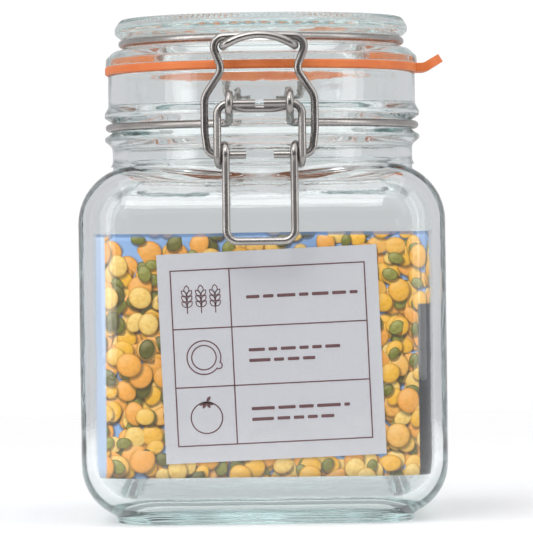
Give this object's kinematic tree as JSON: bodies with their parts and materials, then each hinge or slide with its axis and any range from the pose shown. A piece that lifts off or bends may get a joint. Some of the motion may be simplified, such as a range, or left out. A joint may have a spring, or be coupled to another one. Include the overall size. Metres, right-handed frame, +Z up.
{
  "type": "lidded glass canister",
  "caption": "Square glass storage jar with a round neck and a hinged glass lid, held shut over a rubber seal by a bent-wire over-centre latch; printed paper insert inside.",
  "frame": {"origin": "centre of the base, on the surface that the jar stands on", "axes": "+Z up; -Y to the latch at the front; +Y to the lid hinge; +X to the seal's pull tab"},
  "size_m": [0.1092, 0.1166, 0.1501],
  "materials": {
    "jar_glass": "clear, pressed",
    "lid_glass": "clear, pressed",
    "wire": "bright drawn stainless steel",
    "seal": "matt orange rubber",
    "printed_paper": "printed with split peas and lentils",
    "card": "white card printed with brown lines"
  },
  "bodies": {
    "jar": {"jar_body": "jar_glass", "neck_wire": "wire", "paper_sleeve": "printed_paper", "info_card": "card"},
    "lid": {"glass_lid": "lid_glass", "lid_wire": "wire", "rubber_seal": "seal"},
    "lever": {"latch_lever": "wire"},
    "link": {"latch_link": "wire"}
  },
  "joints": [
    {"name": "lever_pivot", "type": "hinge", "parent": "jar", "child": "lever", "pos_m": [0, -0.0522, 0.1229], "axis": [-1, 0, 0], "range_deg": [0, 85]},
    {"name": "link_pivot", "type": "hinge", "parent": "lever", "child": "link", "pos_m": [0, -0.0525, 0.108], "axis": [1, 0, 0], "range_deg": [0, 168]},
    {"name": "lid_hinge", "type": "hinge", "parent": "jar", "child": "lid", "pos_m": [0, 0.0522, 0.127], "axis": [-1, 0, 0], "range_deg": [0, 110]}
  ],
  "couplings": [
    {"joint": "link_pivot", "follows": "lever_pivot", "ratio": 1.9}
  ]
}
